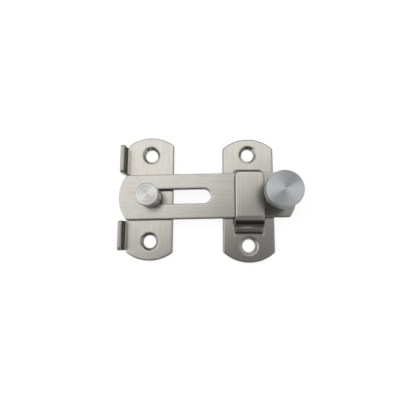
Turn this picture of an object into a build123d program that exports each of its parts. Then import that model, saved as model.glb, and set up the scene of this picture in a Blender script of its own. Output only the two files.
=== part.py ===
from build123d import *
from math import acos, cos, degrees, hypot, radians, sin, sqrt, tan
import os

# A straight slide bolt of stamped steel. The slotted bolt bar turns and slides on a stud that is riveted to
# the base plate, and it drops into a hook that is pressed out of the keeper plate.
# Millimetres and degrees. X runs along the bolt, Y up the plates and Z out of the mounting surface.
# The origin is midway between the base plate's screw holes, on the plate's back.

# Plates
sheet = 2.0                 # thickness of both plates
base_width = 22.6
keeper_width = 25.0
plate_end_radius = 18.2     # curve of the plates' ends
corner_radius = 1.0         # where an end's curve meets a long side
edge_radius = 0.5           # front edges, rounded by tumbling
keeper_reach = 48.1         # from the middle of the base plate to the middle of the keeper
keeper_drop = 0.7           # how far the keeper sits below the base plate

# Screw holes
screw_hole = 6.0
countersink = 8.8           # diameter at the front face
base_hole_margin = 9.1      # from the plate's end to the hole
keeper_hole_margin = 8.0
hole_land = 1.2             # metal left between the hook's root and a countersink

# Ears that guide the bolt
ear_height = 7.8            # from the mounting surface to the ear's top
ear_bend = 0.8              # inside radius of the fold
ear_corner = 1.6            # rounding of the ear's free corners
ear_edge = 0.4              # rounding of the ear's free edges
ear_inset = 1.0             # from the start of the plate's rounded end to the ear
ear_clearance = 0.4         # beside the bolt as it slides between the ears
park_clearance = 1.65       # from the upright bolt to the ears

# Bolt bar
bolt_width = 22.0
bolt_thickness = 3.0
bolt_end_radius = 18.0
bolt_gap = 0.2              # between the bolt and the plates
bolt_angle = 1.3            # the bolt rests this far above level, on the hook's bend
bolt_back_edge = 0.25       # rounding of its back edges
tail_clearance = 0.8        # from the sweep of the tail to the ears' folds
knob_margin = 10.1          # from the knob's axis to the bolt's end
slot_travel = 25.7          # along the slot from the rest position, towards the knob
slot_play = 3.0             # along the slot from the rest position, towards the tail
slot_clearance = 0.1        # on each side of the stud

# Pivot stud
stud_diameter = 10.7
stud_height = 9.4           # of the head
stud_chamfer = 0.45
shank_diameter = 6.8
head_gap = 0.15             # between the bolt and the stud's head

# Pull knob
knob_diameter = 16.2
knob_height = 6.3           # of the head
knob_lift = 11.2            # from the bolt's front to the head
knob_chamfer = 0.5
neck_diameter = 7.0
neck_fillet = 0.8           # under the head

# Rivet tails of the stud and the knob
tail_diameter = 5.0
rivet_flare = 1.0           # how far the tail spreads into its countersink
rivet_recess = 0.1          # how far the tail lies below the surface
running_clearance = 0.05    # around the stud, which turns
rivet_clearance = 0.02      # around the knob's tail, which is clenched tight

# Hook of the keeper
hook_width = 14.1
hook_bend = 3.6             # inside radius of both bends
hook_gap = 0.3              # between the bolt's front and the hook
throat_gap = 0.55           # between the bolt's lower edge and the hook's bend
hook_lip = 0.2              # how far the hook's tip passes the bolt's upper edge
hook_corner = 2.3           # rounding of the hook's free corners
hook_edge = 0.6             # rounding of the hook's front edges
lance_gap = 0.3             # cut on each side of the hook
relief_depth = 1.0          # how far the cuts run past the bend
neutral_line = 0.33         # depth of the unstretched layer in a bend, as a share of the sheet
neck_gap = 2.2              # between the hook's side and the knob's neck

# Heights of the layers
bolt_back = sheet + bolt_gap
bolt_front = bolt_back + bolt_thickness
hook_back = bolt_front + hook_gap

# Place of the stud, which keeps the upright bolt clear of the ears
ear_face = base_width / 2 + ear_bend
stud_x = bolt_width / 2 + park_clearance - ear_face

# Places along the bolt, from the stud
hook_middle = keeper_reach - stud_x
knob_reach = hook_middle + hook_width / 2 + neck_gap + neck_diameter / 2
bolt_tip = knob_reach + knob_margin

# Joggle of the hook: two equal bends without a straight between them
hook_radius = hook_bend + sheet / 2
hook_turn = degrees(acos(1 - hook_back / (2 * hook_radius)))
hook_run = 2 * hook_radius * sin(radians(hook_turn))

# Heights of the hook, set by the edges of the resting bolt
bolt_slope = tan(radians(bolt_angle))
bolt_half = bolt_width / 2 / cos(radians(bolt_angle))
lower_edge = (hook_middle - hook_width / 2) * bolt_slope - bolt_half
upper_edge = hook_middle * bolt_slope + bolt_half
bend_reach = sqrt(hook_bend**2 - (hook_bend - hook_gap)**2)
hook_shoulder = lower_edge - throat_gap + bend_reach
hook_root = hook_shoulder - hook_run
hook_tip = upper_edge + hook_lip
flat_length = 2 * radians(hook_turn) * (hook_bend + neutral_line * sheet) + hook_tip - hook_shoulder
window_top = hook_root + flat_length

# Lengths of the plates, set by what the keeper has to hold
window_reach = max(-keeper_drop - hook_root, window_top + keeper_drop)
keeper_spacing = 2 * (window_reach + hole_land + countersink / 2)
plate_length = keeper_spacing + 2 * keeper_hole_margin
base_spacing = plate_length - 2 * base_hole_margin


def arch(radius, width):
    """Rise of an end's curve above its corners."""
    return radius - sqrt(radius**2 - (width / 2)**2)


# Ears, from the gap for the bolt to just short of the plate's rounded ends
ear_start = bolt_width / 2 + ear_clearance
ear_end = plate_length / 2 - arch(plate_end_radius, base_width) - ear_inset

# Tail of the bolt, as long as the ears let it sweep past their folds at the height of its back
fold_drop = ear_bend - min(bolt_gap, ear_bend)
fold_face = base_width / 2 + sqrt(ear_bend**2 - fold_drop**2)
tail_sweep = hypot(fold_face + stud_x, ear_start) - tail_clearance
tail_corner = sqrt(tail_sweep**2 - (bolt_width / 2)**2)
bolt_tail = min(tail_corner + arch(bolt_end_radius, bolt_width), tail_sweep)


def round_ended(length, width, end_radius):
    """Outline with arched ends, lengthwise along Y."""
    side = width / 2
    end = length / 2
    corner = end - arch(end_radius, width)
    left = Line((-side, -corner), (-side, corner))
    top = ThreePointArc((-side, corner), (0, end), (side, corner))
    right = Line((side, corner), (side, -corner))
    bottom = ThreePointArc((side, -corner), (0, -end), (-side, -corner))
    outline = make_face([left, top, right, bottom])
    return fillet(outline.vertices(), corner_radius)


def soften_front(blank):
    """Round every edge of a stamped blank's front face."""
    front = blank.faces().sort_by(Axis.Z)[-1]
    return fillet(front.edges(), edge_radius)


def screw_cutter():
    """Through hole with a countersink that opens at a plate's front."""
    cone_depth = (countersink - screw_hole) / 2
    bottom = (Align.CENTER, Align.CENTER, Align.MIN)
    hole = Cylinder(screw_hole / 2, sheet, align=bottom)
    cone = Cone(screw_hole / 2, countersink / 2, cone_depth, align=bottom)
    return hole + Pos(0, 0, sheet - cone_depth) * cone


def rivet_cutter(back, depth, clearance):
    """Hole for a rivet tail, countersunk at the back."""
    radius = tail_diameter / 2 + clearance
    points = [
        (0, back),
        (radius + rivet_flare, back),
        (radius, back + rivet_flare),
        (radius, back + depth),
        (0, back + depth),
    ]
    return turned(points)


def rivet_tail(back):
    """Half profile of a clenched rivet tail, from its axis outwards."""
    radius = tail_diameter / 2
    return [
        (0, back + rivet_recess),
        (radius + rivet_flare - rivet_recess, back + rivet_recess),
        (radius, back + rivet_flare),
    ]


def turned(points):
    """Solid turned from half profile points given as radius and height."""
    profile = make_face(Polyline(*points, close=True))
    return revolve(Plane.XZ * profile, Axis.Z)


def sheet_plate(width, spacing):
    """Flat plate with rounded ends and two countersunk holes."""
    plate = soften_front(extrude(round_ended(plate_length, width, plate_end_radius), sheet))
    for y in (-spacing / 2, spacing / 2):
        plate -= Pos(0, y, 0) * screw_cutter()
    return plate


def ear():
    """Ear folded up from the left edge, rooted inside the plate."""
    root = 2 * edge_radius
    edge = -base_width / 2
    inner = ear_bend
    outer = ear_bend + sheet
    under = Line((edge + root, 0), (edge, 0))
    outer_fold = RadiusArc((edge, 0), (edge - outer, outer), outer)
    outer_face = Line((edge - outer, outer), (edge - outer, ear_height))
    top = Line((edge - outer, ear_height), (edge - inner, ear_height))
    inner_face = Line((edge - inner, ear_height), (edge - inner, outer))
    inner_fold = RadiusArc((edge - inner, outer), (edge, sheet), -inner)
    over = Line((edge, sheet), (edge + root, sheet))
    inside = Line((edge + root, sheet), (edge + root, 0))
    section = make_face([under, outer_fold, outer_face, top, inner_face, inner_fold, over, inside])
    fold = extrude(Plane.XZ * section, -(ear_end - ear_start))
    tips = fold.edges().filter_by(Axis.X).group_by(Axis.Z)[-1]
    fold = fillet(tips, ear_corner)
    rims = fold.edges().filter_by(Axis.Y).group_by(Axis.Z)[-1]
    return Pos(0, ear_start, 0) * fillet(rims, ear_edge)


def base_plate():
    """Plate with its two ears and the stud's hole."""
    plate = sheet_plate(base_width, base_spacing)
    upper_ear = ear()
    plate += upper_ear
    plate += mirror(upper_ear, Plane.XZ)
    plate -= Pos(stud_x, 0, 0) * rivet_cutter(0, sheet, running_clearance)
    return plate


def hook():
    """Tongue of the keeper, joggled up over the bolt, with its free end rounded."""
    start = Line((hook_root - relief_depth, 0), (hook_root, 0))
    rise = JernArc(start @ 1, start % 1, hook_bend + sheet, hook_turn)
    level = JernArc(rise @ 1, rise % 1, hook_bend, -hook_turn)
    strap = Line(level @ 1, (hook_tip, hook_back))
    tip = Line(strap @ 1, (hook_tip, hook_back + sheet))
    strap_front = Line(tip @ 1, (hook_shoulder, hook_back + sheet))
    level_front = JernArc(strap_front @ 1, strap_front % 1, hook_bend + sheet, hook_turn)
    rise_front = JernArc(level_front @ 1, level_front % 1, hook_bend, -hook_turn)
    root_front = Line(rise_front @ 1, (hook_root - relief_depth, sheet))
    root = Line(root_front @ 1, start @ 0)
    section = make_face([start, rise, level, strap, tip, strap_front, level_front, rise_front, root_front, root])
    tongue = extrude(Plane.YZ * section, hook_width / 2, both=True)
    free_corners = tongue.edges().filter_by(Axis.Z).group_by(Axis.Y)[-1]
    tongue = fillet(free_corners, hook_corner)
    front = tongue.faces().sort_by(Axis.Z)[-1]
    return fillet(front.edges().sort_by(Axis.Y)[-1], hook_edge)


def hook_window():
    """Opening that the hook leaves, with a round-ended relief cut on each side of its root."""
    middle = (hook_root + window_top) / 2
    opening = Pos(0, middle) * Rectangle(hook_width + 2 * lance_gap, window_top - hook_root)
    opening = fillet(opening.vertices().group_by(Axis.Y)[-1], hook_corner)
    cut_x = hook_width / 2 + lance_gap / 2
    cut_end = hook_root - relief_depth + lance_gap / 2
    for x in (-cut_x, cut_x):
        cut_middle = (cut_end + hook_root) / 2
        opening += Pos(x, cut_middle) * Rectangle(lance_gap, hook_root - cut_end)
        opening += Pos(x, cut_end) * Circle(lance_gap / 2)
    return extrude(opening, sheet)


def keeper_plate():
    """Plate with the hook standing over the window it was cut from."""
    plate = Pos(0, -keeper_drop, 0) * sheet_plate(keeper_width, keeper_spacing)
    plate -= hook_window()
    plate += hook()
    return Pos(keeper_reach, 0, 0) * plate


def on_bolt(piece):
    """Turn a piece made along X about the stud to the angle at which the bolt rests."""
    return Pos(stud_x, 0, 0) * Rot(0, 0, bolt_angle) * piece


def bolt_bar():
    """Slotted bar with the hole for the knob's tail."""
    length = bolt_tail + bolt_tip
    outline = Pos((bolt_tip - bolt_tail) / 2, 0) * Rot(0, 0, 90) * round_ended(length, bolt_width, bolt_end_radius)
    slot_middle = (slot_travel - slot_play) / 2
    slot_width = shank_diameter + 2 * slot_clearance
    slot = Pos(slot_middle, 0) * SlotCenterToCenter(slot_travel + slot_play, slot_width)
    bar = soften_front(Pos(0, 0, bolt_back) * extrude(outline - slot, bolt_thickness))
    back = bar.faces().sort_by(Axis.Z)[0]
    bar = fillet(back.edges(), bolt_back_edge)
    bar -= Pos(knob_reach, 0, 0) * rivet_cutter(bolt_back, bolt_thickness, rivet_clearance)
    return on_bolt(bar)


def pivot_stud():
    """Turned stud: rivet tail, shank through the slot and a plain round head."""
    tail_radius = tail_diameter / 2
    shank_radius = shank_diameter / 2
    head_radius = stud_diameter / 2
    head_back = bolt_front + head_gap
    head_front = head_back + stud_height
    points = rivet_tail(0) + [
        (tail_radius, sheet),
        (shank_radius, sheet),
        (shank_radius, head_back),
        (head_radius, head_back),
        (head_radius, head_front - stud_chamfer),
        (head_radius - stud_chamfer, head_front),
        (0, head_front),
    ]
    return Pos(stud_x, 0, 0) * turned(points)


def pull_knob():
    """Turned knob: rivet tail, neck and a flat head with broken edges."""
    tail_radius = tail_diameter / 2
    neck_radius = neck_diameter / 2
    head_radius = knob_diameter / 2
    head_back = bolt_front + knob_lift
    head_front = head_back + knob_height
    points = rivet_tail(bolt_back) + [
        (tail_radius, bolt_front),
        (neck_radius, bolt_front),
        (neck_radius, head_back),
        (head_radius - knob_chamfer, head_back),
        (head_radius, head_back + knob_chamfer),
        (head_radius, head_front - knob_chamfer),
        (head_radius - knob_chamfer, head_front),
        (0, head_front),
    ]
    knob = turned(points)
    under_head = knob.edges().filter_by(GeomType.CIRCLE).filter_by_position(Axis.Z, head_back, head_back)
    knob = fillet(under_head.sort_by(SortBy.RADIUS)[0], neck_fillet)
    return on_bolt(Pos(knob_reach, 0, 0) * knob)


pieces = {
    "base_plate": base_plate(),
    "keeper_plate": keeper_plate(),
    "pivot_stud": pivot_stud(),
    "bolt_bar": bolt_bar(),
    "pull_knob": pull_knob(),
}
os.makedirs("parts", exist_ok=True)
for name, piece in pieces.items():
    export_step(piece, f"parts/{name}.step")
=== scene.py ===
# %% [markdown]
# A straight slide bolt for a door, in stamped and turned stainless steel.
# The imported parts already have the right shape: two folded plates, a slotted bar, a stud and a pull knob.
# This lesson gives them their finish. The base plate and the bar keep their imported shape and get a brushed
# steel. The keeper is a copy with a gap closed. The stud and the knob are turned again here, because their
# faces show the rings of the lathe tool. The imported pieces are kept, hidden.

# %% Load the imported parts
import math
import bmesh
import bpy
from mathutils import Matrix, Vector


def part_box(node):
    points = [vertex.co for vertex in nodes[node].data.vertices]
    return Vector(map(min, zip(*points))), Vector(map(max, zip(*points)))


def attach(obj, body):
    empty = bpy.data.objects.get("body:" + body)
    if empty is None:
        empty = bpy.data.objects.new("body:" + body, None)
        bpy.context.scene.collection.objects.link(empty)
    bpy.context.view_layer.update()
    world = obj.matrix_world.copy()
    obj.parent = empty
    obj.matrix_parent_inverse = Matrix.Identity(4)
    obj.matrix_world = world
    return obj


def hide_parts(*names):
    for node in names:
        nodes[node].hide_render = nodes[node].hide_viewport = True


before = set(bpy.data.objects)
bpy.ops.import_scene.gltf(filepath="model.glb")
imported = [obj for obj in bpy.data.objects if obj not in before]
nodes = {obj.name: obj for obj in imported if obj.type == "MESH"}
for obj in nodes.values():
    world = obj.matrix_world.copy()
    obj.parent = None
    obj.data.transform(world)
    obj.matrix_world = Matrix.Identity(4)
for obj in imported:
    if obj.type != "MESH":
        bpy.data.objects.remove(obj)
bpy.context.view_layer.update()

scene = bpy.context.scene
print("packed pieces:", sorted(nodes))

# %% [markdown]
# Blender counts in metres and this bolt is measured in millimetres, so one value turns one into the other.
# Colours are written as the hex values that a paint program shows. A shader wants linear light instead, and
# one function does that. A second small function adds a node to any node tree, sets it and links it.

# %% Millimetres, colours and nodes
MM = 0.001
UP = (0, 0, 1)
FLATTEN = (1, 1, 0)         # multiplied with a vector, this leaves out its height


def linear(hex_colour):
    """Linear RGBA of an sRGB hex colour."""
    parts = [int(hex_colour[i:i + 2], 16) / 255 for i in (1, 3, 5)]
    light = [c / 12.92 if c <= 0.04045 else ((c + 0.055) / 1.055) ** 2.4 for c in parts]
    return (*light, 1.0)


def add_node(tree, kind, inputs=None, **settings):
    """Add a node, set its properties, then set or link its inputs by name or number."""
    node = tree.nodes.new(kind)
    for name, value in settings.items():
        setattr(node, name, value)
    for key, value in (inputs or {}).items():
        if isinstance(value, bpy.types.NodeSocket):
            tree.links.new(value, node.inputs[key])
        else:
            node.inputs[key].default_value = value
    return node


WHITE = linear("#FFFFFF")
print("white in linear light:", WHITE)

# %% [markdown]
# The camera looks almost straight down on the bolt, from about 145 mm above the plates and a little to their
# lower side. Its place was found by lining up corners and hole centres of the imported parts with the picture
# that the bolt is made after. The three angles turn the bolt's frame into the camera's, one axis after
# another, and the inverse of that turn places the camera.

# %% Camera
IMAGE_SIZE = 400            # pixels along each side of the picture
FOCAL_PIXELS = 292.06
SENSOR_WIDTH = 36.0         # millimetres
NEAREST = 5.0               # millimetres from the camera at which things begin to show
CAMERA_TURN = (-7.386, -0.925, -0.132)      # degrees about X, Y and Z
BOLT_OFFSET = (-24.398, 0.808, -145.966)    # the bolt's origin, seen from the camera, in millimetres

turn_x, turn_y, turn_z = (Matrix.Rotation(math.radians(a), 3, axis) for a, axis in zip(CAMERA_TURN, "XYZ"))
to_bolt = (turn_z @ turn_y @ turn_x).transposed()
camera_data = bpy.data.cameras.new("camera")
camera_data.sensor_width = SENSOR_WIDTH
camera_data.lens = FOCAL_PIXELS / IMAGE_SIZE * SENSOR_WIDTH
camera_data.clip_start = NEAREST * MM
camera = bpy.data.objects.new("camera", camera_data)
camera.matrix_world = Matrix.Translation(to_bolt @ Vector(BOLT_OFFSET) * -MM) @ to_bolt.to_4x4()
scene.collection.objects.link(camera)
scene.camera = camera
scene.view_settings.view_transform = "Standard"
camera_place = [round(c / MM, 1) for c in camera.matrix_world.translation]
print("camera at", camera_place, "mm, lens", round(camera_data.lens, 2), "mm")

# %% [markdown]
# The floor is plain and white. A lit white sheet never quite reaches the white of a catalogue page, so the
# camera, and every reflection, also sees light of the floor's own. Most of that white is glow and
# the rest is lit sheet, which keeps a soft shadow where the bolt lies on it. The glow fades under the bolt,
# where little of the room is in view, so that the gap behind the bar is dark as it is on a table.

# %% Floor
FLOOR_HALF = 20.0           # metres from the middle to each side
FLOOR_DROP = 0.05           # millimetres below the plates' backs

floor_mesh = bpy.data.meshes.new("floor")
floor_sides = ((-1, -1), (1, -1), (1, 1), (-1, 1))
corners = [(x * FLOOR_HALF, y * FLOOR_HALF, -FLOOR_DROP * MM) for x, y in floor_sides]
floor_mesh.from_pydata(corners, [], [(0, 1, 2, 3)])
floor = bpy.data.objects.new("floor", floor_mesh)
scene.collection.objects.link(floor)
print("floor of", 2 * FLOOR_HALF, "m")

# %% [markdown]
# The paper on the floor adds two shaders: a glow that only the camera and reflections see, and a matt sheet
# that the room lights. An Ambient Occlusion node says how much open room each spot has above it, and the
# glow follows that.

# %% White paper
FLOOR_GLOW = 0.86           # where 1 is white
SHADE_REACH = 8.0           # millimetres up from the floor within which the bolt shades it
SHADE_FULL, SHADE_NONE = 0.05, 0.25     # shares of open room at which the glow is gone and whole
SHADE_SAMPLES = 8
PAPER_TONE = "#8A8A8A"

paper = bpy.data.materials.new("white_paper")
paper.use_nodes = True
tree = paper.node_tree
tree.nodes.clear()
ray = add_node(tree, "ShaderNodeLightPath").outputs
seen = ray["Is Camera Ray"]
for kind_of_ray in ("Is Glossy Ray", "Is Transmission Ray"):
    seen = add_node(tree, "ShaderNodeMath", {0: seen, 1: ray[kind_of_ray]}, operation="MAXIMUM").outputs[0]
open_room = add_node(tree, "ShaderNodeAmbientOcclusion", {"Distance": SHADE_REACH * MM},
                     samples=SHADE_SAMPLES).outputs["AO"]
unshaded = add_node(tree, "ShaderNodeMapRange", {"Value": open_room, "From Min": SHADE_FULL,
                                                 "From Max": SHADE_NONE, "To Max": FLOOR_GLOW},
                    interpolation_type="SMOOTHSTEP").outputs["Result"]
glow = add_node(tree, "ShaderNodeMath", {0: seen, 1: unshaded}, operation="MULTIPLY").outputs[0]
emission = add_node(tree, "ShaderNodeEmission", {"Strength": glow})
matt_sheet = add_node(tree, "ShaderNodeBsdfDiffuse", {"Color": linear(PAPER_TONE)})
both = add_node(tree, "ShaderNodeAddShader", {0: emission.outputs[0], 1: matt_sheet.outputs[0]})
add_node(tree, "ShaderNodeOutputMaterial", {"Surface": both.outputs[0]})
floor_mesh.materials.append(paper)
print("paper that glows at", FLOOR_GLOW)

# %% [markdown]
# Steel shows what stands around it, so the light here is a room and not a lamp. A large white card hangs over
# the bolt's back left side, a dimmer one stands at its right and a faint one in front, and the room between
# them is dark. Plates that lean to the large card come out bright, and the lower right falls off to grey.
# Two brighter cards stand far out at the left and the right, for the turned faces, which gleam widely.
# Area lamps of that size would do too, but they mirror with hard outlines. A world that is brighter in some
# directions has soft ones. Each card fills the directions that lean to its side by more than a given share,
# and all of them are dimmer near the floor than overhead.

# %% Studio light
# Side of each card in degrees from +X towards +Y, the lean at which it begins and is full, and its brightness
CARDS = {
    "back_left": (122.0, -0.10, 0.18, 1.15),
    "right": (0.0, 0.14, 0.50, 0.44),
    "front": (270.0, 0.02, 0.30, 0.20),
    "far_left": (180.0, 0.50, 0.75, 2.20),
    "far_right": (0.0, 0.50, 0.75, 1.30),
}
ROOM_LIGHT = 0.02
LOW_SHARE = 0.12            # brightness near the floor, against that overhead
LOW_END, LOW_START = 0.15, 0.80     # where it falls off, as the sine of the angle to the floor

world = bpy.data.worlds.new("studio")
world.use_nodes = True
scene.world = world
tree = world.node_tree
direction = add_node(tree, "ShaderNodeTexCoord").outputs["Generated"]
light = 0.0
for degrees, begin, full, card_light in CARDS.values():
    side = math.radians(degrees)
    lean = add_node(tree, "ShaderNodeVectorMath", {0: direction, 1: (math.cos(side), math.sin(side), 0)},
                    operation="DOT_PRODUCT").outputs["Value"]
    card = add_node(tree, "ShaderNodeMapRange",
                    {"Value": lean, "From Min": begin, "From Max": full, "To Max": card_light},
                    interpolation_type="SMOOTHSTEP").outputs["Result"]
    light = add_node(tree, "ShaderNodeMath", {0: light, 1: card}, operation="MAXIMUM").outputs[0]
height = add_node(tree, "ShaderNodeSeparateXYZ", {0: direction}).outputs["Z"]
overhead = add_node(tree, "ShaderNodeMapRange", {"Value": height, "From Min": LOW_END, "From Max": LOW_START,
                                                 "To Min": LOW_SHARE, "To Max": 1.0}).outputs["Result"]
light = add_node(tree, "ShaderNodeMath", {0: light, 1: ROOM_LIGHT}, operation="ADD").outputs[0]
light = add_node(tree, "ShaderNodeMath", {0: light, 1: overhead}, operation="MULTIPLY").outputs[0]
tree.links.new(light, tree.nodes["Background"].inputs["Strength"])
tree.nodes["Background"].inputs["Color"].default_value = WHITE
print("cards:", {name: settings[3] for name, settings in CARDS.items()})

# %% [markdown]
# Brushed stainless steel was rubbed with a belt of grit along one direction. The eye sees fine parallel lines
# and a soft gleam that spreads across them. The lines come from noise that is stretched along the belt, at
# three sizes: single scratches, wider streaks where the belt pressed harder, and faint clouds.
# The three are mixed into one value, and colour, roughness and relief are all read from it, so they agree.

# %% Noise of a brushed surface
# Width and length in millimetres, and how many times finer lines are added
GRAIN = (0.14, 12.0, 3.0)   # wider than real grit, so that it shows in the picture
STREAK = (0.9, 45.0, 2.0)
CLOUD = (9.0, 9.0, 2.0)
SHEAR = (0.3, 8.0, 2.0)     # lines that a punch leaves down a cut edge
FINE_SHARE = 0.6            # strength of each finer addition, against the one before
STREAK_SHARE = 0.3
CLOUD_SHARE = 0.25


def stretched_noise(tree, place, pattern, axis):
    """Noise that is drawn out along one axis of the frame, as a value from 0 to 1."""
    width, length, detail = pattern
    scale = [1 / (width * MM)] * 3
    scale["XYZ".index(axis)] = 1 / (length * MM)
    mapped = add_node(tree, "ShaderNodeMapping", {"Vector": place, "Scale": scale})
    noise = add_node(tree, "ShaderNodeTexNoise", {"Vector": mapped.outputs[0], "Scale": 1.0, "Detail": detail,
                                                  "Roughness": FINE_SHARE})
    return noise.outputs["Fac"]


def brush_marks(tree, place, along):
    """Scratches, streaks and clouds in one value."""
    patterns = (GRAIN, STREAK, CLOUD)
    grain, streak, cloud = (stretched_noise(tree, place, pattern, along) for pattern in patterns)
    lines = add_node(tree, "ShaderNodeMix", {"Factor": STREAK_SHARE, "A": grain, "B": streak})
    marks = add_node(tree, "ShaderNodeMix", {"Factor": CLOUD_SHARE, "A": lines.outputs["Result"], "B": cloud})
    return marks.outputs["Result"]


print("scratches", GRAIN[0], "mm wide and", GRAIN[1], "mm long")

# %% [markdown]
# A brushed or turned metal spreads its gleam across its lines. The shader wants that way as a tangent, which
# is the cross product of the way of the lines and the way that the surface faces. Both are worked out in the
# piece's own frame and then turned to the world's, so that the gleam swings with the bolt.

# %% Facing and tangent
def facing(tree, normal="True Normal"):
    """The way the surface faces, in the piece's own frame."""
    world_facing = add_node(tree, "ShaderNodeNewGeometry").outputs[normal]
    return add_node(tree, "ShaderNodeVectorTransform", {"Vector": world_facing},
                    vector_type="NORMAL", convert_from="WORLD", convert_to="OBJECT").outputs["Vector"]


def levelness(tree, normal):
    """1 where the sheet lies flat, on its front and on its back, and 0 where it stands upright."""
    way = add_node(tree, "ShaderNodeSeparateXYZ", {0: facing(tree, normal)}).outputs
    return add_node(tree, "ShaderNodeMath", {0: way["Z"]}, operation="ABSOLUTE").outputs[0]


def tangent_across(tree, lines):
    """Tangent that lies in the surface and across the lines on it, turned along with the piece."""
    across = add_node(tree, "ShaderNodeVectorMath", {0: lines, 1: facing(tree, "Normal")},
                      operation="CROSS_PRODUCT")
    return add_node(tree, "ShaderNodeVectorTransform", {"Vector": across.outputs[0]},
                    vector_type="VECTOR", convert_from="OBJECT", convert_to="WORLD").outputs["Vector"]


SKEW = 0.01                 # tilts the lines a hair, so that a tangent exists on walls that face along them
BRUSHING = {"X": (1, 0, SKEW), "Y": (0, 1, SKEW)}
print("ways of the brushing:", BRUSHING)

# %% [markdown]
# A cut edge never meets the belt. It shows short lines straight through the sheet, where the punch broke it,
# and it is duller. It is found by the way that it faces. On flat sheet that is any upright face. Folded sheet
# stands upright too, so there the walls are told apart by where they are: the ears are cut on top and at
# their ends, and the hook is cut at its sides and its tip.

# %% Cut edges
SHEET = 2.0                 # millimetres, the plates
EAR_SIDE = -11.6            # just outside the base plate's long edge, where the ears' folds begin
EAR_FOLD = 4.5              # height at which the ears stand upright
UPRIGHT = 0.4               # levelness below which a face counts as upright
SIDEWAYS = 0.7              # how far a face turns to one side before it counts as an end or a wall


def upright_faces(tree, _place):
    """1 on upright faces, which are the cut edges of flat pieces such as the bar."""
    level = levelness(tree, "True Normal")
    return add_node(tree, "ShaderNodeMath", {0: level, 1: UPRIGHT}, operation="LESS_THAN").outputs[0]


def base_edges(tree, place):
    """1 on the base plate's cut edges: the plate's upright faces, and the ears' tops and ends."""
    where = add_node(tree, "ShaderNodeSeparateXYZ", {0: place}).outputs
    way = add_node(tree, "ShaderNodeSeparateXYZ", {0: facing(tree)}).outputs
    plate = add_node(tree, "ShaderNodeMath", {0: where["X"], 1: EAR_SIDE * MM}, operation="GREATER_THAN")
    top = add_node(tree, "ShaderNodeMath", {0: where["Z"], 1: EAR_FOLD * MM}, operation="GREATER_THAN")
    rim = add_node(tree, "ShaderNodeMix",
                   {"Factor": upright_faces(tree, place), "A": top.outputs[0], "B": plate.outputs[0]})
    lengthways = add_node(tree, "ShaderNodeMath", {0: way["Y"]}, operation="ABSOLUTE")
    end = add_node(tree, "ShaderNodeMath", {0: lengthways.outputs[0], 1: SIDEWAYS}, operation="GREATER_THAN")
    return add_node(tree, "ShaderNodeMath", {0: rim.outputs["Result"], 1: end.outputs[0]},
                    operation="MAXIMUM").outputs[0]


def keeper_edges(tree, place):
    """1 on the keeper's cut edges: the plate's upright faces, and the hook's sides and tip."""
    where = add_node(tree, "ShaderNodeSeparateXYZ", {0: place}).outputs
    way = add_node(tree, "ShaderNodeSeparateXYZ", {0: facing(tree)}).outputs
    plate = add_node(tree, "ShaderNodeMath", {0: where["Z"], 1: SHEET * MM}, operation="LESS_THAN")
    sides = add_node(tree, "ShaderNodeMath", {0: way["X"]}, operation="ABSOLUTE")
    sides = add_node(tree, "ShaderNodeMath", {0: sides.outputs[0], 1: way["Y"]}, operation="MAXIMUM")
    wall = add_node(tree, "ShaderNodeMath", {0: sides.outputs[0], 1: SIDEWAYS}, operation="GREATER_THAN")
    return add_node(tree, "ShaderNodeMix", {"Factor": plate.outputs[0], "A": wall.outputs[0],
                                            "B": upright_faces(tree, place)}).outputs["Result"]


print("the ears stand upright above", EAR_FOLD, "mm and the hook leaves the plate above", SHEET, "mm")

# %% [markdown]
# A fold stretches the sheet. The brushing is pulled open there, so the steel is duller and its gleam is
# rounder. Painted shade darkens it in some places: on the inner faces of the ears, and on the hook along the
# flank of its upper bend and in the crease at the foot of its lower one. How far the sheet has turned away from
# flat tells where on a bend a spot lies.

# %% Bends
FOLD_START, FOLD_FULL = 0.97, 0.6                # levelness at which a fold begins and is full
HOOK_MIDDLE = 4.75          # height in millimetres at which the hook's lower bend passes into its upper one
UPPER_FLANK = ((0.03, 0.09), (0.55, 0.62))       # how far the sheet has turned where each begins and ends
LOWER_CREASE = ((0.001, 0.006), (0.05, 0.10))


def bends(tree, cut):
    """Rises from 0 on flat sheet to 1 where a fold turns it upright, and is 0 where the sheet was cut."""
    folded = add_node(tree, "ShaderNodeMapRange", {"Value": levelness(tree, "Normal"), "From Min": FOLD_START,
                                                   "From Max": FOLD_FULL})
    return add_node(tree, "ShaderNodeMath", {0: folded.outputs["Result"], 1: cut}, operation="SUBTRACT",
                    use_clamp=True).outputs[0]


def inner_side(tree, bend):
    """The part of a bend that faces along the bolt, such as the inner faces of the ears."""
    way = add_node(tree, "ShaderNodeSeparateXYZ", {0: facing(tree)}).outputs
    inward = add_node(tree, "ShaderNodeMath", {0: way["X"], 1: 0.0}, operation="GREATER_THAN")
    return add_node(tree, "ShaderNodeMath", {0: bend, 1: inward.outputs[0]}, operation="MULTIPLY").outputs[0]


def between(tree, value, rise, fall):
    """Rises from 0 to 1 between two values and falls back to 0 between two others."""
    slopes = [add_node(tree, "ShaderNodeMapRange", {"Value": value, "From Min": nothing, "From Max": full},
                       interpolation_type="SMOOTHSTEP").outputs["Result"]
              for nothing, full in (rise, reversed(fall))]
    return add_node(tree, "ShaderNodeMath", {0: slopes[0], 1: slopes[1]}, operation="MULTIPLY").outputs[0]


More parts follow.
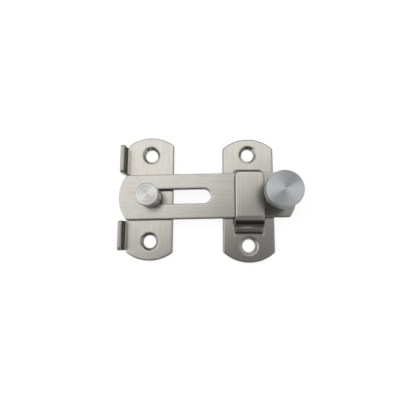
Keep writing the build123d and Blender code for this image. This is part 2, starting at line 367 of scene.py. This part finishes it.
def hook_shade(tree, place, cut):
    """Painted shade on the flank of the hook's upper bend and in the crease at the foot of its lower one."""
    level = levelness(tree, "Normal")
    turn = add_node(tree, "ShaderNodeMath", {0: 1.0, 1: level}, operation="SUBTRACT").outputs[0]
    where = add_node(tree, "ShaderNodeSeparateXYZ", {0: place}).outputs
    lower = add_node(tree, "ShaderNodeMath", {0: where["Z"], 1: HOOK_MIDDLE * MM}, operation="LESS_THAN")
    shade = add_node(tree, "ShaderNodeMix",
                     {"Factor": lower.outputs[0], "A": between(tree, turn, *UPPER_FLANK),
                      "B": between(tree, turn, *LOWER_CREASE)})
    return add_node(tree, "ShaderNodeMath", {0: shade.outputs["Result"], 1: cut}, operation="SUBTRACT",
                    use_clamp=True).outputs[0]


print("the hook's bends meet at", HOOK_MIDDLE, "mm")

# %% [markdown]
# A countersink was turned by a drill after the brushing, so it is smooth and has rings. It is found by the
# distance from the axis of its hole. The two holes of a plate mirror each other, so one distance serves both.

# %% Countersinks
SINK_RADIUS = 4.6           # millimetres, just outside the countersink's rim
SINK_RING = 0.35            # pitch of the drill's rings
SINK_DETAIL = 2.0


def countersinks(tree, place, centre, spacing):
    """Mask of a plate's two countersinks, the noise of their rings and the way that the rings run."""
    from_centre = add_node(tree, "ShaderNodeVectorMath", {0: place, 1: Vector(centre) * MM},
                           operation="SUBTRACT")
    mirrored = add_node(tree, "ShaderNodeVectorMath", {0: from_centre.outputs[0]}, operation="ABSOLUTE")
    from_hole = add_node(tree, "ShaderNodeVectorMath", {0: mirrored.outputs[0], 1: (0, spacing / 2 * MM, 0)},
                         operation="SUBTRACT")
    sign = add_node(tree, "ShaderNodeVectorMath", {0: from_centre.outputs[0]}, operation="SIGN")
    outward = add_node(tree, "ShaderNodeVectorMath", {0: from_hole.outputs[0], 1: sign.outputs[0]},
                       operation="MULTIPLY")
    flat = add_node(tree, "ShaderNodeVectorMath", {0: outward.outputs[0], 1: FLATTEN}, operation="MULTIPLY")
    radius = add_node(tree, "ShaderNodeVectorMath", {0: flat.outputs[0]}, operation="LENGTH").outputs["Value"]
    inside = add_node(tree, "ShaderNodeMath", {0: radius, 1: SINK_RADIUS * MM}, operation="LESS_THAN")
    rings = add_node(tree, "ShaderNodeTexNoise",
                     {"W": radius, "Scale": 1 / (SINK_RING * MM), "Detail": SINK_DETAIL},
                     noise_dimensions="1D")
    ring_lines = add_node(tree, "ShaderNodeVectorMath", {0: UP, 1: flat.outputs[0]},
                          operation="CROSS_PRODUCT")
    return inside.outputs[0], rings.outputs["Fac"], ring_lines.outputs[0]


print("countersinks end within", SINK_RADIUS, "mm of their axes")

# %% [markdown]
# Brushed and turned steel share a few steps. Each starts as a metal, reads a colour and a roughness from its
# marks, and has some darker places laid over that colour. Stainless steel is smoother where it is light.
# A Mix node has sockets of the same names for each kind of value, so here they are given by number: its
# vectors are 4 and 5, and its colours are 6 and 7.

# %% Steps that all the steels share
TONE_SPAN = (0.3, 0.7)      # values of the marks that are quite dark and quite light
ROUGH_SPAN = (0.25, 0.75)   # values of the marks that are quite rough and quite smooth


def new_steel(name):
    """A material with its tree, its shader and the place on the piece."""
    material = bpy.data.materials.new(name)
    material.use_nodes = True
    tree = material.node_tree
    shader = tree.nodes["Principled BSDF"]
    shader.inputs["Metallic"].default_value = 1.0
    place = add_node(tree, "ShaderNodeTexCoord").outputs["Object"]
    return material, tree, shader, place


def tone_and_roughness(tree, marks, dark_hex, light_hex, rough, smooth):
    """Colour and roughness that follow the marks."""
    tone = add_node(tree, "ShaderNodeValToRGB", {"Fac": marks})
    for stop, position, hex_colour in zip(tone.color_ramp.elements, TONE_SPAN, (dark_hex, light_hex)):
        stop.position = position
        stop.color = linear(hex_colour)
    roughness = add_node(tree, "ShaderNodeMapRange",
                         {"Value": marks, "From Min": ROUGH_SPAN[0], "From Max": ROUGH_SPAN[1],
                          "To Min": rough, "To Max": smooth})
    return tone.outputs["Color"], roughness.outputs["Result"]


def laid_over(tree, colour, layers):
    """A colour with others laid over it, each where its mask is 1."""
    for mask, hex_colour in layers:
        colour = add_node(tree, "ShaderNodeMix", {0: mask, 6: colour, 7: linear(hex_colour)},
                          data_type="RGBA").outputs[2]
    return colour


print("marks are light above", TONE_SPAN[1])

# %% [markdown]
# The pieces were tumbled after stamping, which took off every sharp edge. The imported shape has its front
# edges rounded already. A Bevel node rounds the shading a little further, on all edges alike, and adds no
# faces. Where its normal leaves the face's own, the surface is on such an edge. There the colour is painted a
# little darker, as painted shade along the rounded edges.

# %% Tumbled edges
EDGE_RADIUS = 1.1           # millimetres
EDGE_SAMPLES = 6
RIM_START, RIM_FULL = 0.99, 0.8     # agreement of the two normals at which a rim begins and is full


def tumbled_edges(tree):
    """Normal that rounds the edges, and a mask that is 1 on them."""
    rounded = add_node(tree, "ShaderNodeBevel", {"Radius": EDGE_RADIUS * MM}, samples=EDGE_SAMPLES).outputs[0]
    flat_facing = add_node(tree, "ShaderNodeNewGeometry").outputs["True Normal"]
    agreement = add_node(tree, "ShaderNodeVectorMath", {0: rounded, 1: flat_facing}, operation="DOT_PRODUCT")
    rim = add_node(tree, "ShaderNodeMapRange", {"Value": agreement.outputs["Value"], "From Min": RIM_START,
                                                "From Max": RIM_FULL})
    return rounded, rim.outputs["Result"]


print("edges look rounded by", EDGE_RADIUS, "mm")

# %% [markdown]
# The brushed steel puts these steps together. Stainless steel is a little warm in colour. The brushing runs
# down the plates and along the bar. Cut edges are duller and do not gleam across their lines, bends are
# duller and gleam less, and countersinks are smoother.

# %% Brushed stainless steel
SCRATCH_DEPTH = 0.008       # millimetres
SCRATCH_STRENGTH = 0.3
BRUSHED_TONES = ("#C3BFB7", "#D9D6CF")
BRUSHED_ROUGHNESS = (0.26, 0.18)
# painted shade that darkens the rounded edges
RIM_SHADE_TONE = "#8F8B84"
# painted shade on the inner faces of the ears and on the hook's bends
SHADE_TONE = "#5C5852"
CUT_DULLER = 0.1            # added roughness
BEND_DULLER = 0.15
GLEAM = 0.85                # how far the gleam spreads across the lines
BEND_GLEAM_LOSS = 0.7


def brushed_steel(name, along, cut_edges, cut_and_shade_hex, holes=None, hook=False):
    """Steel brushed along X or Y, with its cut edges and bends and, on a plate, two countersinks."""
    material, tree, shader, place = new_steel(name)
    lines = BRUSHING[along]
    edge = cut_edges(tree, place)
    marks = add_node(tree, "ShaderNodeMix", {"Factor": edge, "A": brush_marks(tree, place, along),
                                             "B": stretched_noise(tree, place, SHEAR, "Z")}).outputs["Result"]
    cut = edge
    dullness = edge
    if holes:
        sink, rings, ring_lines = countersinks(tree, place, *holes)
        marks = add_node(tree, "ShaderNodeMix", {"Factor": sink, "A": marks, "B": rings}).outputs["Result"]
        lines = add_node(tree, "ShaderNodeMix", {0: sink, 4: lines, 5: ring_lines},
                         data_type="VECTOR").outputs[1]
        cut = add_node(tree, "ShaderNodeMath", {0: edge, 1: sink}, operation="MAXIMUM").outputs[0]
        dullness = add_node(tree, "ShaderNodeMath", {0: edge, 1: sink}, operation="SUBTRACT").outputs[0]
    bend = bends(tree, cut)
    shade = hook_shade(tree, place, cut) if hook else inner_side(tree, bend)
    rounded, rim = tumbled_edges(tree)

    tone, rough = tone_and_roughness(tree, marks, *BRUSHED_TONES, *BRUSHED_ROUGHNESS)
    # rims and bends get painted shade, and the cut edges get their own colour, which is painted shade on the
    # keeper and the bar
    colour = laid_over(tree, tone, ((rim, RIM_SHADE_TONE), (shade, SHADE_TONE), (edge, cut_and_shade_hex)))
    for mask, duller in ((dullness, CUT_DULLER), (bend, BEND_DULLER)):
        rough = add_node(tree, "ShaderNodeMath", {0: mask, 1: duller, 2: rough},
                         operation="MULTIPLY_ADD").outputs[0]
    gleam = GLEAM
    for mask, loss in ((bend, BEND_GLEAM_LOSS), (edge, GLEAM)):
        gleam = add_node(tree, "ShaderNodeMath", {0: mask, 1: -loss, 2: gleam}, operation="MULTIPLY_ADD",
                         use_clamp=True).outputs[0]
    relief = add_node(tree, "ShaderNodeBump", {"Height": marks, "Strength": SCRATCH_STRENGTH,
                                               "Distance": SCRATCH_DEPTH * MM, "Normal": rounded})
    looks = {"Base Color": colour, "Roughness": rough, "Anisotropic": gleam,
             "Normal": relief.outputs["Normal"], "Tangent": tangent_across(tree, lines)}
    for socket_name, socket in looks.items():
        tree.links.new(socket, shader.inputs[socket_name])
    return material


print("scratches", SCRATCH_DEPTH, "mm deep")

# %% [markdown]
# Each stamped piece gets its own brushed steel, because each has its own cut edges. Those of the keeper and
# the bar are painted darker than those of the base plate, as painted shade on walls that stand in the bolt's
# shade. The imported pieces have one material slot, and the new steel takes it. Their meshes stay as they are.

# %% Steel for the stamped pieces
HOLE_SPACING = {"base_plate": 42.84, "keeper_plate": 45.04}     # millimetres
# the second colour is painted shade on the cut walls of the keeper and the bar
LIGHT_CUT, PAINTED_SHADE_CUT = "#B4B0A9", "#5A5650"


def middle(node_name):
    """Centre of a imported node's box, in millimetres."""
    low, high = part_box(node_name)
    return (low + high) / 2 / MM


keeper_middle = middle("keeper_plate")
base_holes = ((0, 0, 0), HOLE_SPACING["base_plate"])
keeper_holes = ((keeper_middle.x, keeper_middle.y, 0), HOLE_SPACING["keeper_plate"])
stamped_steels = {
    "base_plate": brushed_steel("stainless_steel_brushed_base", "Y", base_edges, LIGHT_CUT, base_holes),
    "keeper_plate": brushed_steel("stainless_steel_brushed_keeper", "Y", keeper_edges, PAINTED_SHADE_CUT, keeper_holes,
                                  hook=True),
    "bolt_bar": brushed_steel("stainless_steel_brushed_bar", "X", upright_faces, PAINTED_SHADE_CUT),
}
for node_name, steel in stamped_steels.items():
    nodes[node_name].data.materials[0] = steel
print("keeper's holes about", [round(c, 2) for c in keeper_holes[0]], "mm")

# %% [markdown]
# The hook was lanced out of the keeper: a punch sheared the sheet along a line, bent the tongue up, and took
# no metal away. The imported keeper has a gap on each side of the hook, which keeps its solid simple, but white
# floor would shine through it here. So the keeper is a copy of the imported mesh, with the side walls of its
# window moved in against the hook. The copy comes as loose triangles, so it is merged first. Its normals are
# kept on the faces' corners meanwhile, because they make the folds round and the flat faces flat.

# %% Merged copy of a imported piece
MERGE_DISTANCE = 0.0002     # millimetres


def merged_copy(mesh, name):
    """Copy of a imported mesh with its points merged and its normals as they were."""
    copy = mesh.copy()
    copy.name = name
    kept = copy.attributes.new("packed_normal", "FLOAT_VECTOR", "CORNER")
    kept.data.foreach_set("vector", [c for corner in mesh.corner_normals for c in corner.vector])
    work = bmesh.new()
    work.from_mesh(copy)
    bmesh.ops.remove_doubles(work, verts=work.verts, dist=MERGE_DISTANCE * MM)
    work.to_mesh(copy)
    work.free()
    normals = [corner.vector.copy() for corner in copy.attributes["packed_normal"].data]
    copy.attributes.remove(copy.attributes["packed_normal"])
    copy.normals_split_custom_set(normals)
    return copy


keeper_mesh = merged_copy(nodes["keeper_plate"].data, "keeper_closed")
print("keeper_closed:", len(keeper_mesh.vertices), "points after merging")

# %% [markdown]
# Only the walls of the window move. They are the points just outside the hook's two sides, as far up and down
# as the window reaches. Each one keeps its side and closes all but a hair of the gap.

# %% Keeper with its window closed up to the hook
HOOK_WIDTH = 14.1           # millimetres
LANCE_GAP = 0.3
SHEAR_LINE = 0.02           # what is left of the gap
SEARCH = 0.33               # how far outside the hook the window's walls are looked for
WINDOW_REACH = 20.0         # how far the window and its end cuts reach from the middle

hook_middle = keeper_middle.x * MM
moved = 0
for vertex in keeper_mesh.vertices:
    from_hook = abs(vertex.co.x - hook_middle) / MM - HOOK_WIDTH / 2
    if SHEAR_LINE / 2 < from_hook < SEARCH and abs(vertex.co.y / MM) < WINDOW_REACH:
        closing = from_hook * (1 - SHEAR_LINE / LANCE_GAP)
        vertex.co.x -= math.copysign(closing * MM, vertex.co.x - hook_middle)
        moved += 1
keeper = bpy.data.objects.new("keeper_closed", keeper_mesh)
scene.collection.objects.link(keeper)
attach(keeper, "mounted_plates")
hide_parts("keeper_plate")
print("keeper_closed:", moved, "points moved,", len(keeper.data.polygons), "faces")

# %% [markdown]
# The stud and the knob were turned on a lathe. Turning leaves rings on the face, one for each turn of the
# feed. The light on such a face gathers into two fans, because each ring spreads its gleam along the radius.
# The walls of the heads are painted a little darker than their faces, as painted shade. The underside of a
# head is duller, and its colour is painted dark there, as painted shade under the head. The rivets' ends are
# plain steel again.

# %% Turned stainless steel
RING_PITCH = 0.45           # millimetres, coarser than a real feed so that it shows in the picture
RING_DETAIL = 4.0
RING_FINE_SHARE = 0.7
HEAD_FOOT = 5.0             # height above which a turned piece is head or neck, and below which it is rivet
WALL_LIMIT, UNDER_LIMIT = 0.5, -0.5     # how far up a face still looks where it counts as a wall or underside
# painted shade under the heads
UNDER_SHADE_TONE = "#6C6C6B"
UNDER_DULLER = 0.2          # added roughness
RING_DULLER = 0.1           # roughness between the lightest and the darkest ring
TURNED_GLEAM = 0.9


def turned_steel(name, centre, dark_hex, light_hex, wall_shade_hex, smooth):
    """Steel turned about an upright axis through the given centre."""
    material, tree, shader, place = new_steel(name)
    axis = (centre.x * MM, centre.y * MM, 0)
    from_axis = add_node(tree, "ShaderNodeVectorMath", {0: place, 1: axis}, operation="SUBTRACT")
    flat = add_node(tree, "ShaderNodeVectorMath", {0: from_axis.outputs[0], 1: FLATTEN}, operation="MULTIPLY")
    radius = add_node(tree, "ShaderNodeVectorMath", {0: flat.outputs[0]}, operation="LENGTH").outputs["Value"]
    height = add_node(tree, "ShaderNodeSeparateXYZ", {0: place}).outputs["Z"]
    profile = add_node(tree, "ShaderNodeMath", {0: radius, 1: height}, operation="ADD").outputs[0]
    rings = add_node(tree, "ShaderNodeTexNoise", {"W": profile, "Scale": 1 / (RING_PITCH * MM),
                                                  "Detail": RING_DETAIL, "Roughness": RING_FINE_SHARE},
                     noise_dimensions="1D").outputs["Fac"]
    up = add_node(tree, "ShaderNodeSeparateXYZ", {0: facing(tree)}).outputs["Z"]
    head = add_node(tree, "ShaderNodeMath", {0: height, 1: HEAD_FOOT * MM}, operation="GREATER_THAN")
    masks = []
    for limit in (WALL_LIMIT, UNDER_LIMIT):
        away = add_node(tree, "ShaderNodeMath", {0: up, 1: limit}, operation="LESS_THAN")
        masks.append(add_node(tree, "ShaderNodeMath", {0: away.outputs[0], 1: head.outputs[0]},
                              operation="MULTIPLY").outputs[0])
    wall, under = masks

    tone, rough = tone_and_roughness(tree, rings, dark_hex, light_hex, smooth + RING_DULLER, smooth)
    # walls and undersides of the heads get painted shade
    colour = laid_over(tree, tone, ((wall, wall_shade_hex), (under, UNDER_SHADE_TONE)))
    rough = add_node(tree, "ShaderNodeMath", {0: under, 1: UNDER_DULLER, 2: rough}, operation="MULTIPLY_ADD")
    relief = add_node(tree, "ShaderNodeBump", {"Height": rings, "Strength": SCRATCH_STRENGTH,
                                               "Distance": SCRATCH_DEPTH * MM})
    ring_lines = add_node(tree, "ShaderNodeVectorMath", {0: UP, 1: flat.outputs[0]},
                          operation="CROSS_PRODUCT")
    looks = {"Base Color": colour, "Roughness": rough.outputs[0], "Normal": relief.outputs["Normal"],
             "Tangent": tangent_across(tree, ring_lines.outputs[0])}
    for socket_name, socket in looks.items():
        tree.links.new(socket, shader.inputs[socket_name])
    shader.inputs["Anisotropic"].default_value = TURNED_GLEAM
    return material


# Colours of dark rings, light rings and the painted shade on walls, and the roughness of light rings
STUD_FINISH_AND_SHADE = ("#C6C6C3", "#DEDEDC", "#C0C0BE", 0.24)
KNOB_FINISH_AND_SHADE = ("#C6C8CA", "#DDDFE1", "#949698", 0.40)
stud_steel = turned_steel("stainless_steel_turned_stud", middle("pivot_stud"), *STUD_FINISH_AND_SHADE)
knob_steel = turned_steel("stainless_steel_turned_knob", middle("pull_knob"), *KNOB_FINISH_AND_SHADE)
print("turned:", stud_steel.name, knob_steel.name)

# %% [markdown]
# A turned piece is a profile carried once round an axis, and a Geometry Nodes tree can do just that: it takes
# half the outline as a line of edges, softens its corners, carries it round a circle and merges the seam.
# A Screw modifier could spin the outline too, but it would need each ring of the face written out as points.
# The tree's sizes are named inputs, so that one tree serves both pieces.

# %% Inputs of the turning tree
lathe = bpy.data.node_groups.new("turned_piece", "GeometryNodeTree")
lathe_sizes = {
    "Geometry": "Geometry", "Segments": "Int", "Corner Radius": "Float", "Face Radius": "Float",
    "Face Height": "Float", "Rings": "Int", "Ring Depth": "Float", "Centre": "Vector", "Material": "Material",
}
lathe_inputs = {}
for input_name, kind in lathe_sizes.items():
    socket = lathe.interface.new_socket(input_name, in_out="INPUT", socket_type=f"NodeSocket{kind}")
    lathe_inputs[input_name] = socket.identifier
lathe.interface.new_socket("Geometry", in_out="OUTPUT", socket_type="NodeSocketGeometry")
given = add_node(lathe, "NodeGroupInput").outputs
print("turning tree with", len(lathe_inputs), "inputs")

# %% [markdown]
# The rings on the face are real relief. The tree makes the face itself, as a line from the axis to the rim,
# with a wave along the radius that is deeper on some rings than on others.

# %% Face with its rings
RING_POINTS = 6             # points along the radius for each ring
RING_SEED = 7
SHALLOWEST = 0.1            # depth of the faintest ring, against the deepest

face_start = add_node(lathe, "ShaderNodeCombineXYZ", {"Y": given["Face Height"]})
face_end = add_node(lathe, "ShaderNodeCombineXYZ", {"X": given["Face Radius"], "Y": given["Face Height"]})
face_line = add_node(lathe, "GeometryNodeCurvePrimitiveLine",
                     {"Start": face_start.outputs[0], "End": face_end.outputs[0]})
steps = add_node(lathe, "ShaderNodeMath", {0: given["Rings"], 1: RING_POINTS, 2: 1.0},
                 operation="MULTIPLY_ADD")
face_points = add_node(lathe, "GeometryNodeResampleCurve",
                       {"Curve": face_line.outputs[0], "Count": steps.outputs[0]})
along = add_node(lathe, "GeometryNodeSplineParameter")
ring_place = add_node(lathe, "ShaderNodeMath", {0: along.outputs["Factor"], 1: given["Rings"]},
                      operation="MULTIPLY")
ring_number = add_node(lathe, "ShaderNodeMath", {0: ring_place.outputs[0]}, operation="FLOOR")
ring_share = add_node(lathe, "FunctionNodeRandomValue", {"Min": SHALLOWEST, "Max": 1.0, "Seed": RING_SEED,
                                                         "ID": ring_number.outputs[0]}, data_type="FLOAT")
angle = add_node(lathe, "ShaderNodeMath", {0: ring_place.outputs[0], 1: math.tau}, operation="MULTIPLY")
wave = add_node(lathe, "ShaderNodeMath", {0: angle.outputs[0]}, operation="COSINE")
# The cosine runs from 1 to -1, and half of it less one half runs from 0 on a ridge to -1 in a groove
groove = add_node(lathe, "ShaderNodeMath", {0: wave.outputs[0], 1: 0.5, 2: -0.5}, operation="MULTIPLY_ADD")
depth = add_node(lathe, "ShaderNodeMath", {0: given["Ring Depth"], 1: ring_share.outputs["Value"]},
                 operation="MULTIPLY")
drop = add_node(lathe, "ShaderNodeMath", {0: groove.outputs[0], 1: depth.outputs[0]}, operation="MULTIPLY")
offset = add_node(lathe, "ShaderNodeCombineXYZ", {"Y": drop.outputs[0]})
ringed_face = add_node(lathe, "GeometryNodeSetPosition",
                       {"Geometry": face_points.outputs[0], "Offset": offset.outputs[0]})
print("turning tree with", len(lathe.nodes), "nodes for the face")

# %% [markdown]
# The rest of the outline comes from the piece itself, with its corners softened as a file softens them on the
# lathe. Then Curve to Mesh sets the profile up at each point of a circle, with the profile's X pointing
# outwards and its Y pointing down. So the profile is moved in by the circle's radius and turned over first.

# %% Carry the profile round
CARRY_RADIUS = 1.0          # millimetres
CORNER_POINTS = 4

outline = add_node(lathe, "GeometryNodeMeshToCurve", {"Mesh": given["Geometry"]})
softened = add_node(lathe, "GeometryNodeFilletCurve",
                    {"Curve": outline.outputs[0], "Radius": given["Corner Radius"], "Limit Radius": True,
                     "Count": CORNER_POINTS}, mode="POLY")
profile = add_node(lathe, "GeometryNodeJoinGeometry")
for stretch in (softened, ringed_face):
    lathe.links.new(stretch.outputs[0], profile.inputs[0])
moved_in = add_node(lathe, "GeometryNodeTransform", {"Geometry": profile.outputs[0], "Scale": (1, -1, 1),
                                                     "Translation": (-CARRY_RADIUS * MM, 0, 0)})
circle = add_node(lathe, "GeometryNodeCurvePrimitiveCircle",
                  {"Resolution": given["Segments"], "Radius": CARRY_RADIUS * MM})
carried = add_node(lathe, "GeometryNodeCurveToMesh",
                   {"Curve": circle.outputs["Curve"], "Profile Curve": moved_in.outputs[0]})
merged = add_node(lathe, "GeometryNodeMergeByDistance",
                  {"Geometry": carried.outputs[0], "Distance": MERGE_DISTANCE * MM})
smooth = add_node(lathe, "GeometryNodeSetShadeSmooth", {"Geometry": merged.outputs[0]})
placed = add_node(lathe, "GeometryNodeTransform",
                  {"Geometry": smooth.outputs[0], "Translation": given["Centre"]})
realized = add_node(lathe, "GeometryNodeRealizeInstances", {"Geometry": placed.outputs[0]})
finished = add_node(lathe, "GeometryNodeSetMaterial",
                    {"Geometry": realized.outputs[0], "Material": given["Material"]})
add_node(lathe, "NodeGroupOutput", {"Geometry": finished.outputs[0]})
print("turning tree with", len(lathe.nodes), "nodes")

# %% [markdown]
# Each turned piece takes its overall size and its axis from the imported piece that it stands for. The steps
# between, such as the shank and the rivet's tail, are handed in. After turning, the normals are weighted by
# face area, so that flat faces stay flat beside the soft corners, and the result becomes a plain mesh.

# %% Turn one piece
CORNER_RADIUS = 0.1         # millimetres
RIM = 0.2                   # flat left between the rings and the chamfer
SEGMENTS = 192
NORMAL_WEIGHT = 100         # large faces decide
TAIL_RADIUS = 2.5           # of both rivets
TAIL_FLARE = 0.9


def plain_mesh(piece):
    """Replace a piece's mesh by what its modifiers make of it, and remove them."""
    evaluated = piece.evaluated_get(bpy.context.evaluated_depsgraph_get())
    result = bpy.data.meshes.new_from_object(evaluated)
    piece.modifiers.clear()
    piece.data = result
    result.name = piece.name
    return result


def rivet_steps(shoulder, back):
    """Profile points of a rivet's tail, from its shoulder to the axis at the back."""
    flare_start = back + TAIL_FLARE
    return [(TAIL_RADIUS, shoulder), (TAIL_RADIUS, flare_start), (TAIL_RADIUS + TAIL_FLARE, back), (0, back)]


def turn_piece(name, node_name, body, steps, chamfer, rings, ring_depth, material):
    """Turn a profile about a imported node's axis and let the piece stand for that node."""
    low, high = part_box(node_name)
    radius = (high.x - low.x) / 2
    rim_radius = radius - (chamfer + RIM) * MM
    outline = [(rim_radius, high.z), (radius - chamfer * MM, high.z), (radius, high.z - chamfer * MM)]
    outline += [(r * MM, z * MM) for r, z in steps]
    mesh = bpy.data.meshes.new(name)
    mesh.from_pydata([(r, z, 0) for r, z in outline], [(i, i + 1) for i in range(len(outline) - 1)], [])
    blank = bpy.data.objects.new(name, mesh)
    scene.collection.objects.link(blank)
    modifier = blank.modifiers.new("turned_piece", "NODES")
    modifier.node_group = lathe
    centre = (low + high) / 2
    values = {"Segments": SEGMENTS, "Corner Radius": CORNER_RADIUS * MM, "Face Radius": rim_radius,
              "Face Height": high.z, "Rings": rings, "Ring Depth": ring_depth * MM,
              "Centre": (centre.x, centre.y, 0), "Material": material}
    for key, value in values.items():
        modifier[lathe_inputs[key]] = value
    weighted = blank.modifiers.new("weighted_normals", "WEIGHTED_NORMAL")
    weighted.weight = NORMAL_WEIGHT
    result = plain_mesh(blank)
    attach(blank, body)
    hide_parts(node_name)
    print(name, len(result.polygons), "faces, box", [round(d / MM, 2) for d in blank.dimensions], "mm")


print("each piece is turned in", SEGMENTS, "steps")

# %% [markdown]
# The stud holds the bar to the base plate and is the pin that it turns and slides on. A plain round head sits
# on a narrower shank, and the tail below is clenched in the plate.

# %% Stud
STUD_HEAD = 9.4             # millimetres from the face to the underside
STUD_CHAMFER = 0.45
SHANK_RADIUS = 3.4
STUD_RINGS = 12
STUD_RING_DEPTH = 0.004

stud_low, stud_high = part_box("pivot_stud")
stud_radius = (stud_high.x - stud_low.x) / 2 / MM
stud_under = stud_high.z / MM - STUD_HEAD
stud_steps = [(stud_radius, stud_under), (SHANK_RADIUS, stud_under), (SHANK_RADIUS, SHEET)]
stud_steps += rivet_steps(SHEET, stud_low.z / MM)
turn_piece("stud_turned", "pivot_stud", "pivot", stud_steps,
           STUD_CHAMFER, STUD_RINGS, STUD_RING_DEPTH, stud_steel)

# %% [markdown]
# The knob is what a finger pulls. Its head is chamfered on both sides and runs into its neck with a fillet,
# which is a quarter of a circle in the profile. The tail is clenched in the bar.

# %% Knob
KNOB_HEAD = 6.3             # millimetres from the face to the underside
KNOB_CHAMFER = 0.5
NECK_RADIUS = 3.5
NECK_FILLET = 0.8
FILLET_STEPS = 6
KNOB_RINGS = 18
KNOB_RING_DEPTH = 0.005

knob_low, knob_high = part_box("pull_knob")
bar_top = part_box("bolt_bar")[1].z / MM
knob_radius = (knob_high.x - knob_low.x) / 2 / MM
knob_under = knob_high.z / MM - KNOB_HEAD
knob_steps = [(knob_radius, knob_under + KNOB_CHAMFER), (knob_radius - KNOB_CHAMFER, knob_under)]
for step in range(FILLET_STEPS + 1):
    turn = math.radians(90 * step / FILLET_STEPS)
    fillet_radius = NECK_RADIUS + NECK_FILLET * (1 - math.sin(turn))
    knob_steps.append((fillet_radius, knob_under - NECK_FILLET * (1 - math.cos(turn))))
knob_steps.append((NECK_RADIUS, bar_top))
knob_steps += rivet_steps(bar_top, knob_low.z / MM)
turn_piece("knob_turned", "pull_knob", "bolt", knob_steps,
           KNOB_CHAMFER, KNOB_RINGS, KNOB_RING_DEPTH, knob_steel)
